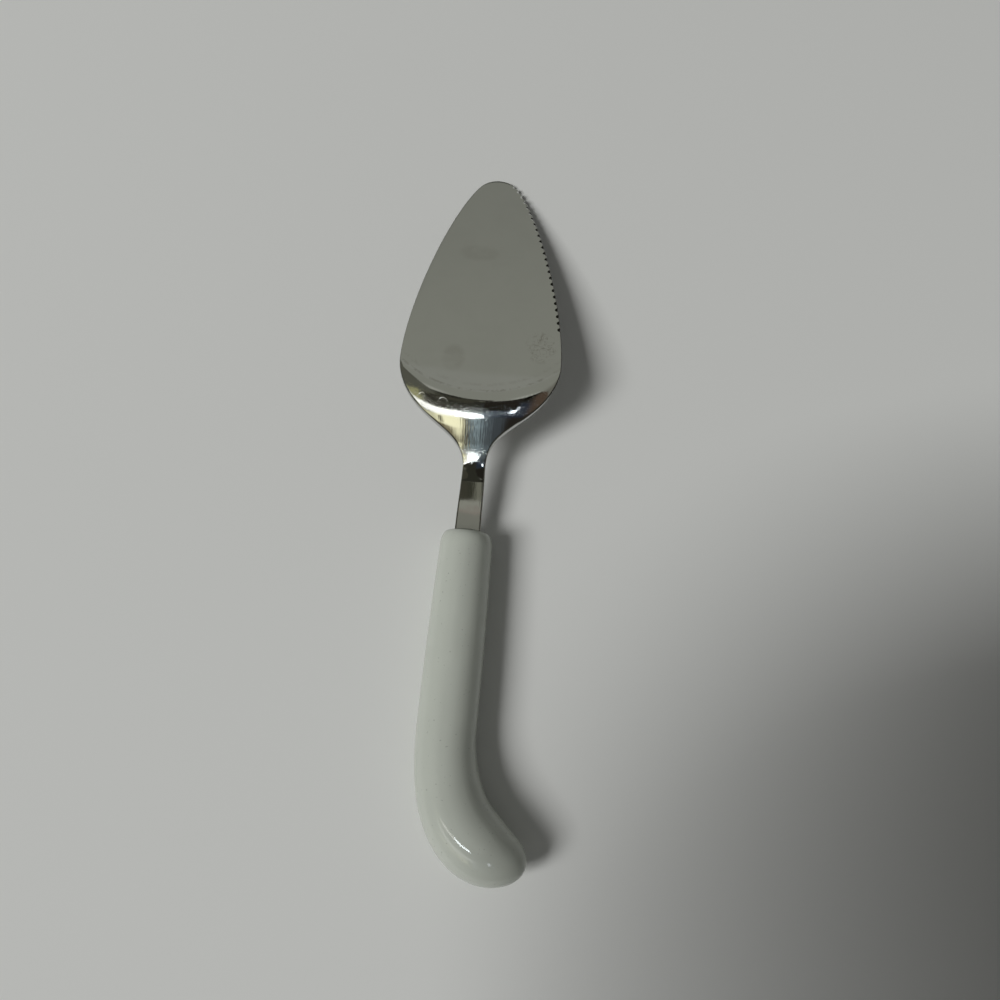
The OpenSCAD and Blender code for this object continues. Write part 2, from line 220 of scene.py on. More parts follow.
class Sheet:
    """The bent sheet seen from its own frame: flat at height 0, the crease's centre at the origin, +Y to the tip."""

    def __init__(self, s):
        self.s = s
        tilt = Vector(SERVING_FACE["axis"])
        self.pitch = math.asin(-tilt.y)
        up = Vector((0, math.sin(self.pitch), math.cos(self.pitch)))
        self.origin = Vector(SERVING_FACE["pos_m"]) + up * s.sheet_t / 2
        self.matrix = Matrix.Translation(self.origin) @ Matrix.Rotation(-self.pitch, 4, "X")
        self.tip_v = s.blade_len - s.crease_r
        self._path()
        self._stiffen()
        self._outline()

    def _path(self):
        """The sheet's middle line: distance from the crease's centre, height and slope. Notes where bends end."""
        s, p = self.s, self.pitch
        crease, shoulder, shank, tang = s.crease_slope + p, s.shoulder_slope + p, s.shank_slope + p, p
        points = [(0.0, 0.0, 0.0), (s.crease_r, 0.0, 0.0)]
        self.breaks = []

        def bend(start, end, radius, turn, steps=40):
            d, h, _ = points[-1]
            for i in range(1, steps + 1):
                a = start + (end - start) * i / steps
                across, drop = math.sin(a) - math.sin(start), math.cos(a) - math.cos(start)
                points.append((d + turn * radius * across, h + turn * radius * drop, a))
            self.breaks.append(points[-1][0])

        def run(far, a, steps=10):
            d, h, _ = points[-1]
            for i in range(1, steps + 1):
                points.append((d + far * i / steps * math.cos(a), h - far * i / steps * math.sin(a), a))
            self.breaks.append(points[-1][0])

        bend(0, crease, s.crease_bend_r, 1)
        bend(crease, shoulder, s.brow_bend_r, 1)
        run(s.shoulder_len, shoulder, 8)
        bend(shoulder, shank, s.neck_bend_r, -1)
        self.neck_end = points[-1]
        run(s.shank_len, shank)
        self.mouth = points[-1]
        bend(shank, tang, s.tang_bend_r, -1, 12)
        self.tang_start = points[-1]
        run(s.tang_len, tang, 20)
        self.tang_end = points[-1]
        self.path = np.array(points)

    def height(self, r, offset):
        """Height of the face that lies at this offset from mid sheet, at a distance from the crease's centre."""
        d, h, a = self.path.T
        return float(np.interp(r, d + offset * np.sin(a), h + offset * np.cos(a))) - self.dip(r)

    def _stiffen(self):
        """The neck's bend isn't an even curve: it turns quickly below the shoulder, then hardly at all, and runs on
        a little too steeply up to a crisp line where the flat of the shank starts."""
        start, end, mouth = self.breaks[2], self.breaks[3], self.mouth[0]
        line = end + self.s.flat_start
        kink, step = self.s.neck_kink, self.s.flat_step
        places = [start + k * (end - start) for k in (0, 0.12, 0.22, 0.29, 0.39, 0.46, 0.83, 1)] + [line]
        extra = [0, kink, 0.75 * kink, 0.36 * kink, 0, 0.25 * step, 0.25 * step, step, step]
        fine = np.linspace(start, line, 400)
        slopes = np.interp(fine, places, np.tan(extra))
        dips = np.cumsum((slopes[1:] + slopes[:-1]) / 2 * np.diff(fine))
        self.dips = (np.append(fine, mouth), np.concatenate([[0], dips, [0]]))

    def dip(self, r):
        """How far the bend departs from its even curve."""
        return float(np.interp(r, *self.dips, left=0, right=0))

    def crown(self, p, across):
        """Drop of the neck's rounded back at a plan point, where across runs from -1 to 1 between the edges."""
        start, end = self.breaks[2], self.breaks[3]
        t = (bend_place(p) - start) / (end - start)
        swell = max(0.0, 1 - ((t - CROWN_MIDDLE) / CROWN_REACH) ** 2) ** 2
        return self.s.neck_crown * swell * abs(across) ** CROWN_POWER

    def _outline(self):
        s = self.s
        half_w = s.blade_w / 2
        plan = self.neck_end[0] - s.crease_r
        turn = np.linspace(0, s.tip_turn, 25)
        arc = np.stack([s.tip_r * np.sin(turn), s.tip_r * (1 - np.cos(turn))], 1)
        arc_way = np.array([math.cos(s.tip_turn), math.sin(s.tip_turn)])
        widest = np.array([half_w, s.blade_len * WIDEST])
        heel_turn = np.array([half_w * HEEL_TURN_W, s.blade_len + plan * HEEL_TURN])
        way = np.array([-math.sin(HEEL_TURN_ANGLE), math.cos(HEEL_TURN_ANGLE)])
        narrowest = np.array([s.neck_w / 2, s.blade_len + plan * NARROWEST])
        mouth_edge = np.array([s.shank_w / 2, s.blade_len + self.mouth[0] - s.crease_r])
        corner = np.array([s.tang_w / 2, mouth_edge[1] + s.tang_shoulder + (s.shank_w - s.tang_w) / 2])
        flank = cubic(arc[-1], arc[-1] + s.blade_len * FLANK_START * arc_way,
                      widest - [0, s.blade_len * FLANK_END], widest, 60)
        heel = cubic(widest, widest + [0, s.blade_len * HEEL_PULL], heel_turn - plan * HEEL_EASE * way, heel_turn, 40)
        neck = cubic(heel_turn, heel_turn + plan * NECK_START * way, narrowest - [0, plan * NECK_END], narrowest, 40)
        shank = straight(narrowest, mouth_edge, 30)
        collar = straight(mouth_edge, mouth_edge + [0, s.tang_shoulder], 4)
        taper = straight(collar[-1], corner, 4)
        tang = straight(corner, [s.tang_w / 2, s.blade_len + self.tang_end[0] - s.crease_r], 30)
        half = np.concatenate([arc, flank, heel, neck, shank, collar, taper, tang])
        stations = np.array([widest[1], heel_turn[1], narrowest[1], mouth_edge[1]])
        sway = np.array([0, -s.heel_sway, s.neck_sway, 0])
        self.edges = {}
        for side in (-1, 1):
            points = []
            for x, along in half:
                i = min(max(int(np.searchsorted(stations, along)) - 1, 0), 2)
                t = min(max((along - stations[i]) / (stations[i + 1] - stations[i]), 0), 1)
                over = sway[i] + (sway[i + 1] - sway[i]) * t * t * (3 - 2 * t)
                points.append((side * x + over, self.tip_v - along))
            self.edges[side] = Edge(np.array(points), side)
        self.widest_at = self.edges[1].steps[len(arc) + len(flank) - 1]


# Meshes

def add_object(name, data):
    made = bpy.data.objects.new(name, data)
    bpy.context.scene.collection.objects.link(made)
    return made


def mesh_object(name, bm):
    """An object made of a bmesh, which ends there."""
    mesh = bpy.data.meshes.new(name)
    bm.to_mesh(mesh)
    bm.free()
    return add_object(name, mesh)


def finish_piece(name, bm, node, finish, sharp=40):
    """Makes a piece of a bmesh, with its normals outward and its finish on, riding on the one body."""
    bmesh.ops.remove_doubles(bm, verts=bm.verts, dist=1e-7)
    bmesh.ops.recalc_face_normals(bm, faces=bm.faces)
    piece = mesh_object(name, bm)
    smooth(piece, sharp)
    piece.data.materials.append(finish)
    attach(piece, "root")
    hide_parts(node)
    return piece


def smooth(piece, sharp):
    """Smooth shading, apart from edges that turn by more than this many degrees."""
    bm = bmesh.new()
    bm.from_mesh(piece.data)
    for face in bm.faces:
        face.smooth = True
    for edge in bm.edges:
        edge.smooth = not (len(edge.link_faces) == 2 and edge.calc_face_angle(0) > math.radians(sharp))
    bm.to_mesh(piece.data)
    bm.free()


def extrude_row(bm, edges, verts):
    """Draws a row of edges on, and gives the new edges and the new vertex of each of the old ones."""
    made = bmesh.ops.extrude_edge_only(bm, edges=edges)["geom"]
    new = {g for g in made if isinstance(g, bmesh.types.BMVert)}
    onward = {v: next(e.other_vert(v) for e in v.link_edges if e.other_vert(v) in new) for v in verts}
    return [g for g in made if isinstance(g, bmesh.types.BMEdge) and g.verts[0] in new and g.verts[1] in new], onward


def loft(bm, rings):
    """A skin over closed rings of points: each is drawn on from the one before and moved into place."""
    first = bmesh.ops.create_circle(bm, segments=len(rings[0]), radius=1)["verts"]
    first.sort(key=lambda v: math.atan2(v.co.y, v.co.x) % (2 * math.pi))
    for v, p in zip(first, rings[0]):
        v.co = p
    edges = list(bm.edges)
    rows = [first]
    for ring in rings[1:]:
        edges, onward = extrude_row(bm, edges, rows[-1])
        rows.append([onward[v] for v in rows[-1]])
        for v, p in zip(rows[-1], ring):
            v.co = p
    return rows


def close_end(bm, row, point):
    """Draws a row of vertices together into one point."""
    bmesh.ops.pointmerge(bm, verts=row, merge_co=point)


# The blade

STEEL_SKIN = 0.02 * MM  # how far the polished faces lie inside the solid's
TIP_CORNER = math.radians(48)  # where the rows' ends start on the tip's arc
FLAT_ROWS = 78
FLAT_END = 0.036  # distance from the crease's centre at which the rows have become arcs
BY_CREASE = 0.0006
RIM_STEPS = 4


def spread(a, b, n):
    """Even steps from a to b, without a."""
    return list(np.linspace(a, b, n + 1)[1:])


def bend_place(p):
    """Distance of a plan point from the crease's centre, or 0 on the flat beyond it."""
    return math.hypot(*p) if p[1] < 0 else 0


def row_radii(sheet):
    """Distances from the crease's centre of the rows past the flat, with close rows where the bends change."""
    s, stops = sheet.s, sheet.breaks
    crisp = stops[3] + s.flat_start
    narrow = sheet.mouth[0] + s.tang_shoulder
    radii = [FLAT_END]
    for stop, steps in (
            (s.crease_r - BY_CREASE, 6), (stops[0] + BY_CREASE, 16), (stops[1], 14), (stops[2], 8), (stops[3], 22),
            (crisp - 0.12 * MM, 3), (crisp - 0.03 * MM, 1), (crisp + 0.03 * MM, 1), (crisp + 0.12 * MM, 1),
            (stops[4], 20), (narrow, 5), (narrow + (s.shank_w - s.tang_w) / 2, 3), (sheet.tang_end[0] - s.rim_r, 60)):
        radii += spread(radii[-1], stop, steps)
    return radii[1:]


def blade_rows(sheet):
    """Rows of plan points across the sheet, from the tip to the tang's end, each with its two outline points."""
    s, rim = sheet.s, sheet.s.rim_r
    edges = [sheet.edges[side] for side in (-1, 1)]
    u = np.linspace(-1, 1, s.columns + 1)
    rows = []

    def end_points(places):
        """The two outline points at these distances along the edges, each with its way inward."""
        ends = [(edge.place(d), edge.inward(d)) for edge, d in zip(edges, places)]
        return ends, [p + n * rim for p, n in ends]

    # The flat: rows bow from the tip's arc to arcs about the crease's centre
    start = s.tip_r * TIP_CORNER
    last = [edge.at_radius(FLAT_END) for edge in edges]
    for i in range(FLAT_ROWS + 1):
        t = i / FLAT_ROWS
        ends, inner = end_points([start + (d - start) * t for d in last])
        centre = sheet.tip_v - rim + (-FLAT_END - sheet.tip_v + rim) * t
        row = []
        for w in u:
            if i == 0:
                a, r = TIP_CORNER * w, s.tip_r - rim
                row.append(np.array([r * math.sin(a), sheet.tip_v - s.tip_r + r * math.cos(a)]))
            else:
                end = inner[0] if w < 0 else inner[1]
                row.append(np.array([end[0] * abs(w), centre + (end[1] - centre) * w * w]))
        rows.append((row, ends))

    # The bends: arcs about the crease's centre
    for radius in row_radii(sheet):
        ends, inner = end_points([edge.at_radius(radius) for edge in edges])
        far = [math.hypot(*p) for p in inner]
        turn = [math.atan2(p[0], -p[1]) for p in inner]
        row = []
        for w in u:
            k = 0 if w < 0 else 1
            r = radius + (far[k] - radius) * abs(w) ** 3
            a = turn[0] + (turn[1] - turn[0]) * (w + 1) / 2
            row.append(np.array([r * math.sin(a), -r * math.cos(a)]))
        rows.append((row, ends))
    return rows


def blade_face(bm, sheet, rows, offset):
    """One face of the sheet as a grid, then its rounded rim drawn on from the grid's border."""
    s = sheet.s
    columns, count_rows = s.columns, len(rows) - 1
    grid = bmesh.ops.create_grid(bm, x_segments=columns, y_segments=count_rows, size=1)["verts"]
    outline = {}
    side = 1 if offset > 0 else -1
    for v in grid:
        i = round((v.co.y + 1) / 2 * count_rows)
        j = round((v.co.x + 1) / 2 * columns)
        row, ends = rows[i]
        p = row[j]
        if j in (0, columns):
            outline[v] = ends[0] if j == 0 else ends[1]
        elif i == 0:
            centre = np.array([0, sheet.tip_v - s.tip_r])
            out = (p - centre) / np.linalg.norm(p - centre)
            outline[v] = (centre + out * s.tip_r, -out)
        elif i == count_rows:
            outline[v] = (p - np.array([0, s.rim_r]), np.array([0, 1]))
        v.co = (p[0], p[1], sheet.height(bend_place(p), offset) - sheet.crown(p, 2 * j / columns - 1))
    edges = [e for e in bm.edges if e.is_boundary and e.verts[0] in outline and e.verts[1] in outline]
    for k in range(1, RIM_STEPS + 1):
        a = math.pi / 2 * k / RIM_STEPS
        inset, drop = s.rim_r * (1 - math.sin(a)), s.rim_r * (1 - math.cos(a))
        edges, onward = extrude_row(bm, edges, outline)
        for v, w in onward.items():
            p, n = outline[v]
            q = p + n * inset
            w.co = (q[0], q[1], sheet.height(bend_place(q), offset) - side * drop - sheet.crown(q, 1))
        outline = {w: outline[v] for v, w in onward.items()}
    return edges


def cut_with(piece, bm):
    """Takes the closed shapes of a bmesh away from a piece."""
    bmesh.ops.recalc_face_normals(bm, faces=bm.faces)
    cutter = mesh_object("cutter", bm)
    cut = piece.modifiers.new("ground away", "BOOLEAN")
    cut.operation, cut.solver, cut.object = "DIFFERENCE", "EXACT", cutter
    depsgraph = bpy.context.evaluated_depsgraph_get()
    depsgraph.update()
    done = bpy.data.meshes.new_from_object(piece.evaluated_get(depsgraph), depsgraph=depsgraph)
    piece.modifiers.clear()
    piece.data = done
    bpy.data.objects.remove(cutter)


def build_blade(sheet, finish):
    """The sheet's two faces joined at the rim, with the flutes and the tang's notches ground away."""
    s = sheet.s
    rows = blade_rows(sheet)
    bm = bmesh.new()
    upper = blade_face(bm, sheet, rows, s.sheet_t / 2 - STEEL_SKIN)
    lower = blade_face(bm, sheet, rows, -s.sheet_t / 2 + STEEL_SKIN)
    bmesh.ops.bridge_loops(bm, edges=upper + lower)
    bmesh.ops.transform(bm, matrix=sheet.matrix, verts=bm.verts)
    piece = finish_piece("blade_metal", bm, "blade", finish)

    cutters = bmesh.new()

    def cutter(place, radius, depth, segments):
        bmesh.ops.create_cone(cutters, cap_ends=True, segments=segments, radius1=radius, radius2=radius,
                              depth=depth, matrix=sheet.matrix @ place)

    reach = 2 * (s.sheet_t + s.flute_r) / math.sin(s.flute_angle)
    flutes = 1 + math.floor((sheet.widest_at - s.flute_stop - s.flute_start) / s.flute_pitch)
    edge = sheet.edges[1]
    for i in range(flutes):
        d = s.flute_start + s.flute_pitch * i
        at, along = edge.place(d), edge.place(d + s.flute_r) - edge.place(d - s.flute_r)
        turn = Matrix.Rotation(math.atan2(along[1], along[0]) + math.pi / 2, 4, "Z")
        lean = Matrix.Rotation(math.pi / 2 + s.flute_angle, 4, "Y")
        cutter(Matrix.Translation((at[0], at[1], s.sheet_t / 2)) @ turn @ lean, s.flute_r, reach, 48)
    middle = [(a + b) / 2 for a, b in zip(sheet.tang_start, sheet.tang_end)]
    for i in range(s.notch_pairs):
        off = (i - (s.notch_pairs - 1) / 2) * s.notch_pitch
        for side in (-1, 1):
            place = Matrix.Translation((side * s.tang_w / 2, -middle[0] - off * math.cos(sheet.pitch), middle[1]))
            cutter(place, s.notch_r, s.tang_len, 32)
    cut_with(piece, cutters)
    smooth(piece, 32)
    return piece


# The handle and the cement

GLAZE_SKIN = 0.03 * MM  # how far the glaze lies inside the solid's skin
CEMENT_SAG = 0.35 * MM


class Line:
    """The handle's centre line with its width and depth: k runs 0 to 1 along the straight grip and 1 to 2 round
    the bend."""

    def __init__(self, s, sheet):
        self.s = s
        along, height = sheet.mouth[:2]
        mouth_y = sheet.origin.y - along * math.cos(sheet.pitch) + height * math.sin(sheet.pitch)
        self.at = np.array([sheet.origin.x, mouth_y])
        way = np.array([-math.sin(s.grip_lean), -math.cos(s.grip_lean)])
        end = s.grip_len * way
        toe = end + np.array([s.bend_reach, -s.bend_run])
        toe_way = np.array([math.sin(s.toe_turn), -math.cos(s.toe_turn)])
        self.way = way
        self.bend = (end, end + s.bend_ease * way, toe - s.toe_ease * toe_way, toe)

    def point(self, k):
        return self.at + (self.bend[0] * k if k <= 1 else on_cubic(*self.bend, k - 1))

    def heading(self, k):
        """The way in which the line runs, as a unit step in plan."""
        a, b, c, d = self.bend
        t = max(k - 1, 0)
        w = self.way if k <= 1 else (b - a) * (1 - t) ** 2 + (c - b) * 2 * t * (1 - t) + (d - c) * t * t
        return w / np.linalg.norm(w)

    def half(self, k, mouth, grip, bulb):
        """Half the width or the depth, of its values at the mouth, the grip and the bulb."""
        if k <= 1:
            return (mouth + (grip - mouth) * (1 - (1 - k) ** 2)) / 2
        return (grip + (bulb - grip) * math.sin(math.pi / 2 * min(1, (k - 1) / self.s.bulb_share)) ** 2) / 2

    def ring(self, k, inset, size):
        """Points round the handle at a place along its line, set in from its skin and scaled."""
        s = self.s
        c, w = self.point(k), self.heading(k)
        hw, hd = self.half(k, s.mouth_w, s.grip_w, s.bulb_w), self.half(k, s.mouth_d, s.grip_d, s.bulb_d)
        a = np.linspace(0, 2 * math.pi, s.sides, endpoint=False)
        out = (hw - inset) * size * np.cos(a)
        return np.stack([c[0] - out * w[1], c[1] + out * w[0], hd + (hd - inset) * size * np.sin(a)], 1)

    def middle(self, k):
        """Middle of the handle's section at a place along its line."""
        c = self.point(k)
        return (c[0], c[1], self.half(k, self.s.mouth_d, self.s.grip_d, self.s.bulb_d))

    def cap(self, end, a):
        """Place and size of a ring on an end cap, a quarter turn from its start to its end."""
        bulb, power = self.s.bulb_share, self.s.cap_power
        return 1 + bulb + (end - bulb - 1) * math.sin(a), (1 - math.sin(a) ** power) ** (1 / power)


def socket_start(s):
    """Place along the grip, as a share of it, where the lip's inner rounding and the recess end."""
    return (s.wall - s.lip_w + s.cement_recess) / s.grip_len


def build_handle(s, line, finish):
    """The handle's skin as one row of rings: up from the toe, over the lip at the mouth and down the hollow."""
    quarter = math.pi / 2
    inner_lip = s.wall - s.lip_w
    inner_end = 2 - s.wall / (3 * s.toe_ease)
    socket = socket_start(s)
    rings = []
    for i in range(23, 0, -1):
        k, size = line.cap(2, quarter * i / 24)
        rings.append(line.ring(k, GLAZE_SKIN, size))
    rings += [line.ring(1 + s.bulb_share * i / 24, GLAZE_SKIN, 1) for i in range(24, -1, -1)]
    for i in range(19, 0, -1):
        rings.append(line.ring((s.lip_len + (s.grip_len - s.lip_len) * i / 20) / s.grip_len, GLAZE_SKIN, 1))
    for i in range(15):
        a = quarter * i / 14
        inset = GLAZE_SKIN + (s.lip_w - GLAZE_SKIN) * (1 - math.cos(a))
        rings.append(line.ring(s.lip_len * (1 - math.sin(a)) / s.grip_len, inset, 1))
    for i in range(1, 9):
        a = quarter * i / 8
        rings.append(line.ring(inner_lip * (1 - math.cos(a)) / s.grip_len, s.lip_w + inner_lip * math.sin(a), 1))
    rings += [line.ring(socket + (1 - socket) * i / 12, s.wall, 1) for i in range(13)]
    rings += [line.ring(1 + s.bulb_share * i / 12, s.wall, 1) for i in range(1, 13)]
    for i in range(1, 12):
        k, size = line.cap(inner_end, quarter * i / 12)
        rings.append(line.ring(k, s.wall, size))
    bm = bmesh.new()
    rows = loft(bm, rings)
    close_end(bm, rows[0], line.middle(2))
    close_end(bm, rows[-1], line.middle(inner_end))
    return finish_piece("glazed_handle", bm, "handle", finish, 60)


def build_cement(s, line, finish):
    """The cement's slightly sunk face below the lip, its side against the handle's wall and its flat far end."""
    start, end = socket_start(s), s.cement_depth / s.grip_len
    sag = CEMENT_SAG / s.grip_len
    rings = []
    for i in range(1, 8):
        size = i / 7
        rings.append(line.ring(start + sag * (1 - size ** 4), s.wall, size))
    rings += [line.ring(start + (end - start) * i / 8, s.wall, 1) for i in range(1, 9)]
    bm = bmesh.new()
    rows = loft(bm, rings)
    close_end(bm, rows[0], line.middle(start + sag))
    bmesh.ops.holes_fill(bm, edges=[e for e in bm.edges if e.is_boundary], sides=0)
    return finish_piece("cement_fill", bm, "cement", finish, 50)


# Finishes

class Wire:
    """A socket of a shader tree that sums and products can be written with."""

    def __init__(self, tree, socket):
        self.tree, self.socket = tree, socket

    def math(self, operation, *others, clamp=False):
        settings = {"operation": operation, "use_clamp": clamp}
        return self.tree.node("ShaderNodeMath", settings, dict(enumerate((self,) + others)))

    def __add__(self, other):
        return self.math("ADD", other)

    __radd__ = __add__

    def __mul__(self, other):
        return self.math("MULTIPLY", other)

    __rmul__ = __mul__

    def __sub__(self, other):
        return self.math("SUBTRACT", other)

    def __rsub__(self, other):
        return self.tree.node("ShaderNodeMath", {"operation": "SUBTRACT"}, {0: other, 1: self})

    def __truediv__(self, other):
        return self.math("DIVIDE", other)

    def __pow__(self, other):
        return self.math("POWER", other)

    def between(self, low, high):
        """0 below low and 1 above high, or the other way round where low is the greater, with soft turns."""
        ends = {1: low, 2: high, 3: 0.0, 4: 1.0} if low < high else {1: high, 2: low, 3: 1.0, 4: 0.0}
        return self.tree.node("ShaderNodeMapRange", {"interpolation_type": "SMOOTHSTEP"}, {0: self, **ends})


class Tree:
    """A node tree that is written as expressions."""

    def __init__(self, owner):
        owner.use_nodes = True
        self.nodes, self.links = owner.node_tree.nodes, owner.node_tree.links
        self.nodes.clear()

    def node(self, kind, settings, inputs, output=0):
        """A node of a kind with its settings, then the values or links of its sockets."""
        made = self.nodes.new(kind)
        for name, value in settings.items():
            setattr(made, name, value)
        for name, value in inputs.items():
            socket = made.inputs[name]
            if isinstance(value, Wire):
                self.links.new(value.socket, socket)
            else:
                socket.default_value = value
        return Wire(self, made.outputs[output])

    def coordinates(self, scale=(1, 1, 1)):
        """The place on the object, in metres over the scale."""
        place = self.node("ShaderNodeTexCoord", {}, {}, "Object")
        return self.node("ShaderNodeMapping", {"vector_type": "TEXTURE"}, {0: place, 3: scale})

    def noise(self, at, scale, detail=2.0, rough=0.5, distortion=0.0):
        settings = {"Vector": at, "Scale": scale, "Detail": detail, "Roughness": rough, "Distortion": distortion}
        return self.node("ShaderNodeTexNoise", {}, settings, "Fac")

    def mix(self, factor, a, b):
        """Colour a where the factor is 0 and colour b where it is 1."""
        return self.node("ShaderNodeMix", {"data_type": "RGBA"}, {0: factor, 6: a, 7: b}, 2)

    def split(self, vector):
        """The three parts of a vector."""
        parts = self.node("ShaderNodeSeparateXYZ", {}, {0: vector}).socket.node
        return [Wire(self, parts.outputs[i]) for i in range(3)]

    def bump(self, height, strength, distance):
        return self.node("ShaderNodeBump", {}, {"Strength": strength, "Distance": distance, "Height": height})

    def surface(self, shader, kind="ShaderNodeOutputMaterial"):
        out = self.nodes.new(kind)
        self.links.new(shader.socket, out.inputs["Surface"])

    def principled(self, inputs):
        self.surface(self.node("ShaderNodeBsdfPrincipled", {}, inputs))


def new_finish(name):
    finish = bpy.data.materials.new(name)
    return finish, Tree(finish)


def rgba(value, scale=1.0):
    """A colour for a socket, made lighter or darker by a scale."""
    return tuple(c * scale for c in value) + (1.0,)


def spot(x, y, at, size):
    """1 at the middle of an oval mark on the blade and 0 at its edge."""
    across, along = (x - at[0] * MM) / (size[0] * MM), (y - at[1] * MM) / (size[1] * MM)
    return (across * across + along * along).between(1.0, 0.25)


def curl(x, y, at, radius):
    """A crescent scratch: 1 on its line, open to the handle's side."""
    across, along = (x - at[0] * MM) / (radius * MM), (y - at[1] * MM) / (radius * MM)
    far = (across * across + along * along) ** 0.5
    return far.between(0.80, 0.95) * far.between(1.20, 1.0) * (along + 0.4 * across).between(-0.1, 0.4)


def polished_steel(f, sheet):
    """Polished steel with smudges, a finger mark, a dried water line and fine scratches."""
    finish, tree = new_finish("polished steel")
    here = tree.coordinates()
    x, y, _ = tree.split(here)
    across, along = x - sheet.origin.x, (y - sheet.origin.y) / math.cos(sheet.pitch)
    from_centre = (across * across + along * along) ** 0.5
    below = along.between(0.0, -0.004)
    shoulder = below * from_centre.between(0.0435, 0.0465)
    brow = shoulder * from_centre.between(0.0535, 0.0495)
    waist = shoulder * from_centre.between(0.0500, 0.0530) * from_centre.between(0.0640, 0.0600)
    waist = waist * across.between(-0.006, -0.003) * across.between(0.009, 0.005)
    neck = below * from_centre.between(0.0590, 0.0632) * from_centre.between(0.0668, 0.0648)

    smear = tree.noise(here, 70.0, 4.0, 0.6, 0.4)
    smudges = spot(x, y, (-10.1, 47.3), (5.0, 6.5)) * 0.7 + spot(x, y, (-5.0, 95.0), (9.0, 4.5)) * 0.45
    swirl = tree.noise(here, 330.0, 1.5, 0.5, 1.2)
    ridges = swirl.between(0.455, 0.475) * swirl.between(0.505, 0.485) + swirl.between(0.60, 0.62)
    finger = spot(x, y, (21.3, 54.2), (6.5, 7.5)) * ridges
    broken = tree.noise(here, 420.0, 4.0, 0.7).between(0.42, 0.62)
    outer_line = from_centre.between(0.0409, 0.0414) * from_centre.between(0.0423, 0.0417)
    inner_line = from_centre.between(0.0380, 0.0388) * from_centre.between(0.0400, 0.0392)
    dried = below * (outer_line + inner_line * 0.35) * broken
    grime = (smudges * smear.between(0.25, 0.6) * 0.6 + finger + dried * 0.8).math("MINIMUM", 1.0)
    shade = tree.mix(smear.between(0.35, 0.8), rgba(f.steel), rgba(f.steel, 0.965))
    shade = tree.mix(grime * 0.75, shade, (0.40, 0.385, 0.36, 1))

    rough = f.steel_rough + 0.02 * smear.between(0.45, 0.75) + 0.025 * shoulder + 0.10 * neck + 0.10 * grime
    brushed = tree.noise(tree.coordinates((0.0005, 0.012, 0.012)), 1.0, 2.0, 0.6)
    brushed = brushed * (0.2 + 0.6 * shoulder + 3.2 * waist)
    specks = tree.noise(here, 2200.0, 1.0).between(0.56, 0.66) * 0.65 * brow
    pits = tree.noise(here, 1300.0, 1.0).between(0.57, 0.63) * 2.2 * neck
    scuff = (curl(x, y, (-19.9, 31.9), 1.2) + curl(x, y, (-12.2, 29.6), 1.9)) * 3.0
    dents = tree.noise(here, 160.0, 1.0) * shoulder * 1.5
    bump = tree.bump(brushed + specks + pits + scuff + dents, 1.0, 0.000009)
    tree.principled({"Metallic": 1.0, "Base Color": shade, "Roughness": rough, "Normal": bump})
    return finish


def white_glaze(f):
    """Glossy glaze, a little cloudy, with fine dark pinholes and a slightly rippled skin."""
    finish, tree = new_finish("white glaze")
    here = tree.coordinates()
    cloud = tree.noise(here, 45.0, 3.0, 0.55)
    shade = tree.mix(cloud.between(0.3, 0.75), rgba(f.glaze), rgba(f.glaze, 0.955))
    pinhole = tree.noise(here, 1300.0, 0.0).between(0.80, 0.83)
    shade = tree.mix(pinhole * 0.5, shade, rgba(f.glaze, 0.5))
    ripple = tree.bump(tree.noise(here, 120.0, 2.0), 0.1, 0.0002)
    rough = f.glaze_rough + 0.03 * cloud
    tree.principled({"Base Color": shade, "Roughness": rough, "IOR": 1.5, "Normal": ripple})
    return finish


def set_cement(f):
    """Matt, gritty cement."""
    finish, tree = new_finish("set cement")
    grit = tree.noise(tree.coordinates(), 2500.0, 4.0, 0.65)
    shade = tree.mix(grit, rgba(f.cement, 0.7), rgba(f.cement, 1.15))
    tree.principled({"Base Color": shade, "Roughness": 0.8 + 0.15 * grit, "Normal": tree.bump(grit, 0.6, 0.0002)})
    return finish


def pale_floor(st):
    """A plain pale floor, with hardly any change of tone."""
    finish, tree = new_finish("pale floor")
    tone = tree.noise(tree.coordinates(), 3.0, 3.0)
    shade = tree.mix(tone, rgba(st.floor, 0.985), rgba(st.floor, 1.0))
    tree.principled({"Base Color": shade, "Roughness": 0.9, "Specular IOR Level": 0.2})
    return finish


# The studio

# Cards that only mirrors see: name, middle, size across and along in millimetres, display colour, axis it stands on
CARDS = (
    ("dark card", (-31.5, -13, 285), (48, 58.4), (50, 50, 42), ""),
    ("darker card", (11, -9.4, 285), (37, 31.2), (38, 36, 31), ""),
    ("grey card", (3.5, -33.5, 285), (22, 17), (98, 98, 88), ""),
    ("side card", (40, -42.5, 285), (51, 35), (30, 28, 24), ""),
    ("low card", (33.7, -14, 120), (56.6, 48), (30, 28, 24), ""),
    ("low grey card", (-37.7, -4.6, 120), (56.6, 25.4), (54, 53, 45), ""),
    ("edge card", (44, 125, 12), (24, 270), (22, 22, 18), "Y"),
    ("tip card", (30, 165, 6), (80, 12), (22, 22, 18), "X"),
)


def lit(red, green, blue):
    """Light that the polished steel mirrors as this display colour."""
    return tuple(((c / 255 + 0.055) / 1.055) ** 2.4 / 0.6 for c in (red, green, blue)) + (1.0,)


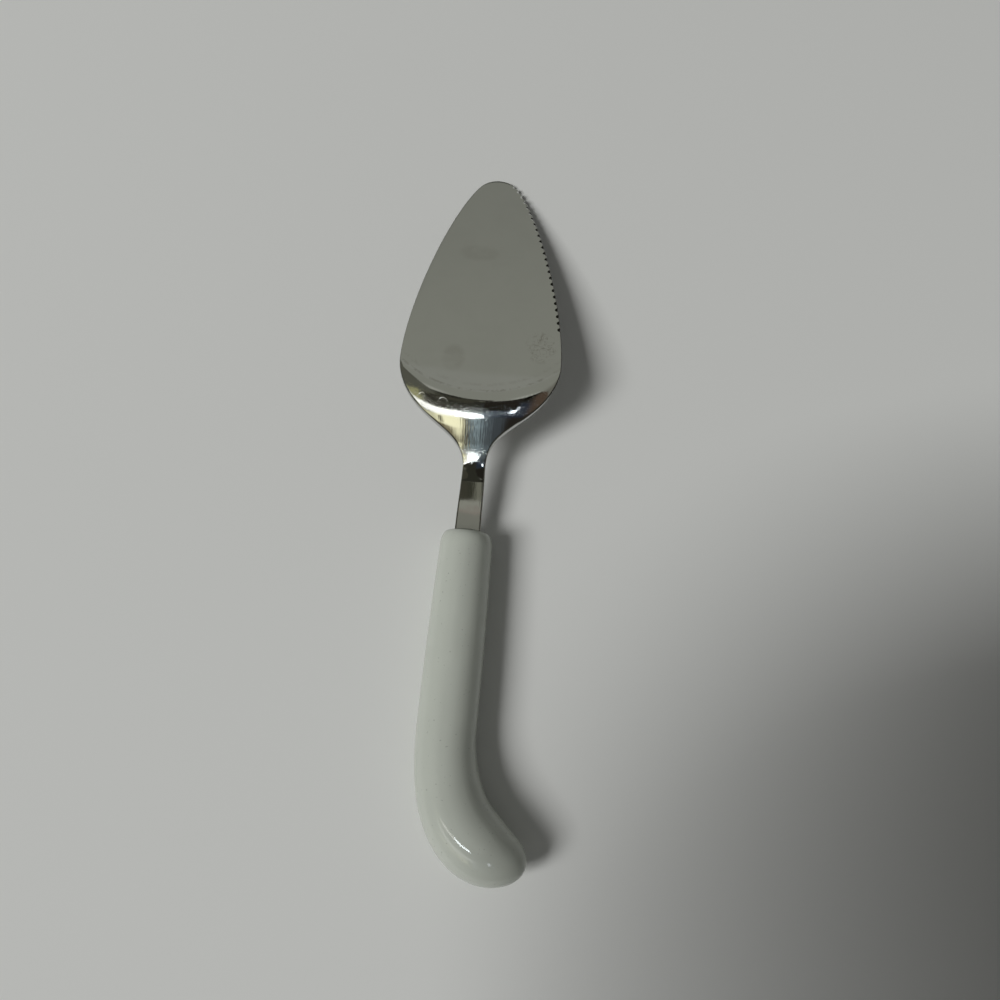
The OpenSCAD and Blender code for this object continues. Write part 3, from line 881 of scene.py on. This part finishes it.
def room_light(st):
    """The room as the polished blade mirrors it. u and v are the stereographic place of a direction:
    straight up is at the middle, +u to the fluted edge and +v to the blade's tip."""
    world = bpy.data.worlds.new("room")
    bpy.context.scene.world = world
    tree = Tree(world)
    mix = tree.mix
    x, y, z = tree.split(tree.node("ShaderNodeTexCoord", {}, {}, "Generated"))
    level = (z + 1.0).math("MAXIMUM", 0.05)
    u, v = x / level, y / level

    def layered(base, *layers):
        """A base with layers over it, each given by where it lies and its display colour."""
        for where, shade in layers:
            base = mix(where, base, lit(*shade))
        return base

    def box(left, right, low, high, soft):
        """1 inside a soft-edged box of the room's picture."""
        across = u.between(left - soft, left + soft) * u.between(right + soft, right - soft)
        return across * v.between(low - soft, low + soft) * v.between(high + soft, high - soft)

    ceiling = layered(
        lit(117, 118, 111),
        (v.between(0.44, 0.62), (109, 110, 104)),
        (v.between(0.35, 0.43) * v.between(0.449, 0.443), (121, 122, 116)),
        (box(-0.24, -0.15, 0.01, 0.10, 0.05) * 0.7, (150, 150, 144)),
        (box(0.14, 0.28, -0.13, -0.02, 0.05) * 0.7, (150, 152, 145)),
        (u.between(0.22, 0.36) * v.between(0.25, 0.1), (96, 95, 88)),
        (box(-0.07, 0.03, -0.0945, -0.079, 0.002) * 0.9, (106, 106, 99)),
        (box(-0.07, 0.03, -0.077, -0.06, 0.003) * 0.9, (126, 126, 118)),
        (box(-0.07, 0.03, -0.0795, -0.078, 0.0006) * 0.8, (126, 112, 106)))

    # The unlit part of the room overhead and along the plain edge's side
    left_edge = -0.01 - 0.085 * u.between(-0.085, -0.065)
    right_edge = (-0.19 + 0.85 * (u - 0.1)).math("MINIMUM", -0.05 - 0.9 * (u - 0.28))
    edge = left_edge.math("MINIMUM", -0.05 - 1.75 * (u - 0.02)).math("MAXIMUM", right_edge)
    overhead = (v - edge).between(0.008, -0.012)
    side = (u - 0.05 * v).between(-0.218, -0.25) * v.between(0.42, 0.34)
    unlit = layered(
        lit(40, 40, 34),
        (box(-0.6, -0.22, -0.4, 0.4, 0.05), (76, 76, 68)),
        (box(-0.335, -0.20, -0.31, -0.19, 0.02), (44, 42, 36)),
        (v.between(-0.18, -0.26) * u.between(-0.02, 0.06), (36, 42, 52)),
        (box(0.17, 0.285, -0.21, 0.0, 0.03), (14, 14, 9)),
        (u.between(0.265, 0.32), (70, 58, 49)))
    tone = mix(overhead.math("MAXIMUM", side), ceiling, unlit)
    tone = layered(tone, (box(-0.50, -0.37, -0.30, -0.17, 0.02) * 0.9, (142, 140, 102)))

    # The wall below the bright band
    wall = layered(
        lit(58, 63, 67),
        (u.between(0.09, 0.05) * 0.8, (88, 97, 102)),
        (box(-0.055, -0.01, -0.9, -0.35, 0.012) * 0.55, (170, 190, 196)),
        (u.between(-0.075, -0.092), (92, 84, 64)),
        (u.between(-0.107, -0.143), (240, 236, 200)),
        (box(-0.29, -0.262, -0.5, -0.42, 0.01), (95, 90, 72)),
        (u.between(-0.27, -0.33), (190, 188, 158)),
        (u.between(0.13, 0.20), (34, 31, 28)),
        ((v + 0.3 * u).between(-0.581, -0.593) * u.between(-0.125, -0.14), (106, 98, 78)),
        (v.between(-0.55, -0.62), (50, 50, 46)))
    tone = mix(v.between(-0.37, -0.40), tone, wall)

    # The bright band with its glow, and the lamp beside it
    bow = (u + 0.22).math("MINIMUM", 0.0)
    off = v - (1.9 * bow * bow + 0.2 * (u + 0.03).math("MAXIMUM", 0.0) - 0.365)
    glow = off.between(0.05, -0.005) * off.between(-0.06, 0.0) * u.between(0.25, 0.0)
    tone = layered(tone, (glow * 0.4, (140, 152, 162)))
    band = (off + 0.013 * u.between(-0.15, -0.10)).between(0.045, 0.02) * off.between(-0.06, -0.03)
    band = band * u.between(-0.50, -0.40) * u.between(0.01, -0.06)
    tone = mix(band, tone, (st.band, st.band, st.band * 0.96, 1))
    lean = u - 0.2 - 0.3 * (v + 0.305)
    lamp = lean.between(-0.024, -0.010) * lean.between(0.024, 0.010)
    lamp = lamp * v.between(-0.345, -0.33) * v.between(-0.262, -0.275)
    tone = mix(lamp, tone, rgba((0.92, 1.0, 1.1), st.band * 2.6))
    beyond = u.math("ABSOLUTE").math("MAXIMUM", 0.0 - v).between(0.52, 0.60)
    beyond = beyond.math("ADD", v.between(0.64, 0.74), clamp=True)
    tone = layered(tone, (beyond, (44, 44, 40)))

    mirrored = tree.node("ShaderNodeLightPath", {}, {}, "Is Glossy Ray")
    light = {"Color": mix(mirrored, rgba(st.ambient), tone), "Strength": st.room}
    tree.surface(tree.node("ShaderNodeBackground", {}, light), "ShaderNodeOutputWorld")


def strip_light(st):
    """The key light: a wide strip to the upper left, which the steel and the glaze don't mirror."""
    data = bpy.data.lights.new("key strip", "AREA")
    data.shape, data.size, data.size_y = "RECTANGLE", 4.65, 2.4
    data.energy = st.key_power
    strip = add_object("key strip", data)
    strip.location = (-5.25, -1.98, 5.85)
    strip.rotation_euler = (0.0, 0.0, math.radians(18))
    strip.visible_glossy = False


def lay_floor(st):
    bm = bmesh.new()
    bmesh.ops.create_grid(bm, x_segments=8, y_segments=8, size=1.5)
    floor = mesh_object("floor", bm)
    floor.data.materials.append(pale_floor(st))


def hang_card(name, middle, size, shade, strength=1.0, fade=0.0, upright=""):
    """A card that only mirrors see: its middle and size in millimetres, its colour, how bright it is and the
    share of its length over which each end fades. An upright card is turned about the axis that is named."""
    across, along = size
    bm = bmesh.new()
    bmesh.ops.create_grid(bm, x_segments=1, y_segments=1, size=0.5)
    bmesh.ops.scale(bm, vec=(across * MM, along * MM, 1), verts=bm.verts)
    if upright:
        bmesh.ops.rotate(bm, matrix=Matrix.Rotation(math.pi / 2, 3, upright), verts=bm.verts)
    bmesh.ops.translate(bm, vec=Vector(middle) * MM, verts=bm.verts)
    card = mesh_object(name, bm)
    finish, tree = new_finish(name)
    glow = tree.node("ShaderNodeEmission", {}, {"Color": shade, "Strength": strength})
    if fade:
        x = tree.split(tree.coordinates())[0]
        start, end = (middle[0] - across / 2) * MM, (middle[0] + across / 2) * MM
        run = across * fade * MM
        seen = x.between(start, start + run) * x.between(end, end - run)
        clear = tree.node("ShaderNodeBsdfTransparent", {}, {})
        glow = tree.node("ShaderNodeMixShader", {}, {0: seen, 1: clear, 2: glow})
    tree.surface(glow)
    card.data.materials.append(finish)
    card.visible_camera = card.visible_diffuse = card.visible_shadow = False


def hang_flag(middle, radius):
    """A round flag that shades the floor beyond the handle's toe from the strip, as someone standing there would."""
    bm = bmesh.new()
    place = Matrix.Translation(Vector(middle) * MM)
    bmesh.ops.create_circle(bm, cap_ends=True, segments=64, radius=radius * MM, matrix=place)
    flag = mesh_object("flag", bm)
    flag.visible_camera = flag.visible_diffuse = flag.visible_glossy = False


def set_camera(st):
    """The camera above the handle's mouth, tipped towards the blade."""
    data = bpy.data.cameras.new("camera")
    data.lens, data.sensor_width = st.lens, 36
    data.clip_start = 0.01
    eye = add_object("camera", data)
    eye.location = st.camera
    eye.rotation_euler = (st.camera_tip, 0, st.camera_turn)
    bpy.context.scene.camera = eye


# The steps that a user calls

class SERVER_OT_blade(bpy.types.Operator):
    """Make the polished blade with its crease, shoulder, shank and tang"""
    bl_idname = "cake_server.blade"
    bl_label = "Blade"

    def execute(self, context):
        sheet = Sheet(context.scene.server_blade)
        build_blade(sheet, polished_steel(context.scene.server_finishes, sheet))
        return {"FINISHED"}


def handle_line(scene):
    """The handle's line, which starts where the blade's shank ends."""
    return Line(scene.server_handle, Sheet(scene.server_blade))


class SERVER_OT_handle(bpy.types.Operator):
    """Make the hollow glazed handle with its rounded lip"""
    bl_idname = "cake_server.handle"
    bl_label = "Handle"

    def execute(self, context):
        scene = context.scene
        build_handle(scene.server_handle, handle_line(scene), white_glaze(scene.server_finishes))
        return {"FINISHED"}


class SERVER_OT_cement(bpy.types.Operator):
    """Fill the handle's socket with cement"""
    bl_idname = "cake_server.cement"
    bl_label = "Cement"

    def execute(self, context):
        scene = context.scene
        build_cement(scene.server_handle, handle_line(scene), set_cement(scene.server_finishes))
        return {"FINISHED"}


class SERVER_OT_studio(bpy.types.Operator):
    """Lay the floor and set up the lights and the camera"""
    bl_idname = "cake_server.studio"
    bl_label = "Studio"

    def execute(self, context):
        st = context.scene.server_studio
        room_light(st)
        strip_light(st)
        lay_floor(st)
        for name, middle, size, shade, upright in CARDS:
            hang_card(name, middle, size, lit(*shade), upright=upright)
        hang_card("strip lamp", (-61, -274, 365), (150, 32), (0.93, 1.0, 1.04, 1), st.lamp, fade=0.1)
        hang_card("strip lamp's end", (-200, -273, 366), (200, 32), (1, 0.98, 0.9, 1), 3.5, fade=0.1)
        hang_flag((50.9, -226.9, 245.7), 172.5)
        set_camera(st)
        context.scene.view_settings.view_transform = "Standard"
        return {"FINISHED"}


class SERVER_PT_panel(bpy.types.Panel):
    """Lists the steps that build the cake server"""
    bl_label = "Cake Server"
    bl_idname = "SERVER_PT_panel"
    bl_space_type = "VIEW_3D"
    bl_region_type = "UI"
    bl_category = "Cake Server"

    def draw(self, context):
        for step in STEPS:
            self.layout.operator(step.bl_idname)


STEPS = (SERVER_OT_blade, SERVER_OT_handle, SERVER_OT_cement, SERVER_OT_studio)
SETTINGS = {
    "server_blade": BladeSizes, "server_handle": HandleSizes, "server_finishes": Finishes, "server_studio": Studio}
CLASSES = (*SETTINGS.values(), *STEPS, SERVER_PT_panel)


def register():
    for made in CLASSES:
        bpy.utils.register_class(made)
    for name, group in SETTINGS.items():
        setattr(bpy.types.Scene, name, PointerProperty(type=group))


def unregister():
    for name in SETTINGS:
        delattr(bpy.types.Scene, name)
    for made in reversed(CLASSES):
        bpy.utils.unregister_class(made)


def main():
    register()
    bpy.ops.cake_server.blade()
    bpy.ops.cake_server.handle()
    bpy.ops.cake_server.cement()
    bpy.ops.cake_server.studio()


if __name__ == "__main__":
    main()
